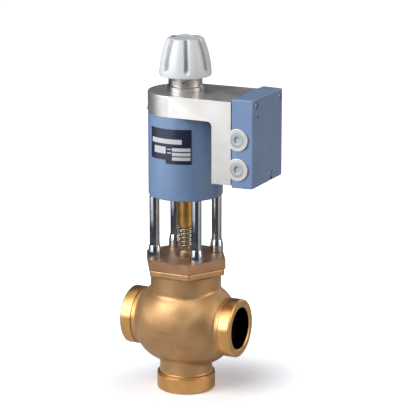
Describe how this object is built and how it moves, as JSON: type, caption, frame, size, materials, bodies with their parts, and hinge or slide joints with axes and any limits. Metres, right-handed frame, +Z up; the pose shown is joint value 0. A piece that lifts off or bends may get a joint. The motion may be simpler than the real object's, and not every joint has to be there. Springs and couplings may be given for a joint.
{
  "type": "three-way mixing valve",
  "caption": "Bronze globe body with ports left, right and below, a hexagonal bonnet, a magnetic actuator on steel columns, a controller box and a hand knob.",
  "frame": {"origin": "centre of the bottom port's sealing face", "axes": "+Z up along the valve's stem; +X towards the open right port and the controller box; +Y to the back"},
  "size_m": [0.1515, 0.09, 0.364],
  "materials": {
    "cast_bronze": "sand cast, satin",
    "brass": "turned",
    "stainless_steel": "turned",
    "plated_steel": "bright zinc plated",
    "spring_steel": "drawn wire",
    "magnet_iron": "machined soft iron",
    "copper_winding": "enamelled copper wire",
    "blue_enamel": "satin stoved enamel on steel",
    "blue_plastic": "satin moulded plastic",
    "cast_aluminium": "die cast, brushed",
    "grey_plastic": "satin moulded plastic",
    "white_plastic": "moulded",
    "black_plastic": "moulded",
    "rubber": "moulded",
    "circuit_board": "solder mask",
    "lamp_lens": "clear moulded",
    "printed_plate": "printed foil"
  },
  "bodies": {
    "root": {"valve_body": "cast_bronze", "lower_seat_ring": "stainless_steel", "upper_seat_ring": "stainless_steel", "bonnet_gasket": "rubber", "bonnet": "cast_bronze", "stem_guide": "brass", "stem_seals": "rubber", "seal_spacer": "brass", "gland_nut": "brass", "spring_seat": "brass", "column_front_left": "plated_steel", "column_front_right": "plated_steel", "column_rear_left": "plated_steel", "column_rear_right": "plated_steel", "column_nuts": "plated_steel", "magnet_housing": "blue_enamel", "pole_piece": "magnet_iron", "guide_tube": "stainless_steel", "coil_former": "white_plastic", "magnet_coil": "copper_winding", "yoke_plate": "magnet_iron", "upper_stop": "magnet_iron", "sensor_coil": "copper_winding", "coil_lead": "rubber", "bracket": "cast_aluminium", "bracket_screws": "plated_steel", "locking_screw": "plated_steel", "cover_gasket": "rubber", "controller_cover": "blue_plastic", "cover_screws": "plated_steel", "front_cable_plugs": "grey_plastic", "rear_cable_plugs": "grey_plastic", "circuit_board": "circuit_board", "board_spacers": "brass", "terminal_block": "white_plastic", "transformer": "black_plastic", "status_lamp": "lamp_lens", "rating_plate": "printed_plate", "knob_collar": "stainless_steel", "stem_spring": "spring_steel", "press_spring": "spring_steel"},
    "stem_set": {"valve_stem": "stainless_steel", "valve_plug": "stainless_steel", "plug_seals": "rubber", "plug_nut": "stainless_steel", "stem_coupling": "brass", "armature": "magnet_iron"},
    "press_set": {"press_sleeve": "stainless_steel", "knob_screw": "plated_steel"},
    "knob_set": {"hand_knob": "grey_plastic", "knob_cap": "grey_plastic", "knob_pointer": "black_plastic"},
    "spindle_set": {"manual_spindle": "stainless_steel"}
  },
  "joints": [
    {"name": "stem_stroke", "type": "slide", "parent": "root", "child": "stem_set", "axis": [0, 0, -1], "range_m": [0, 0.008], "stiffness_N_per_m": 10000, "springref_m": -0.006, "deforming": ["stem_spring"]},
    {"name": "knob_press", "type": "slide", "parent": "root", "child": "press_set", "axis": [0, 0, -1], "range_m": [0, 0.003], "stiffness_N_per_m": 3000, "springref_m": -0.003, "deforming": ["press_spring"]},
    {"name": "knob_turn", "type": "hinge", "parent": "press_set", "child": "knob_set", "pos_m": [0, 0, 0.345], "axis": [0, 0, 1], "range_deg": [-270, 90]},
    {"name": "spindle_feed", "type": "slide", "parent": "root", "child": "spindle_set", "axis": [0, 0, 1], "range_m": [-0.0068, 0.00226]}
  ],
  "couplings": [
    {"joint": "knob_turn", "follows": "spindle_feed", "rad_per_m": 692.9}
  ]
}
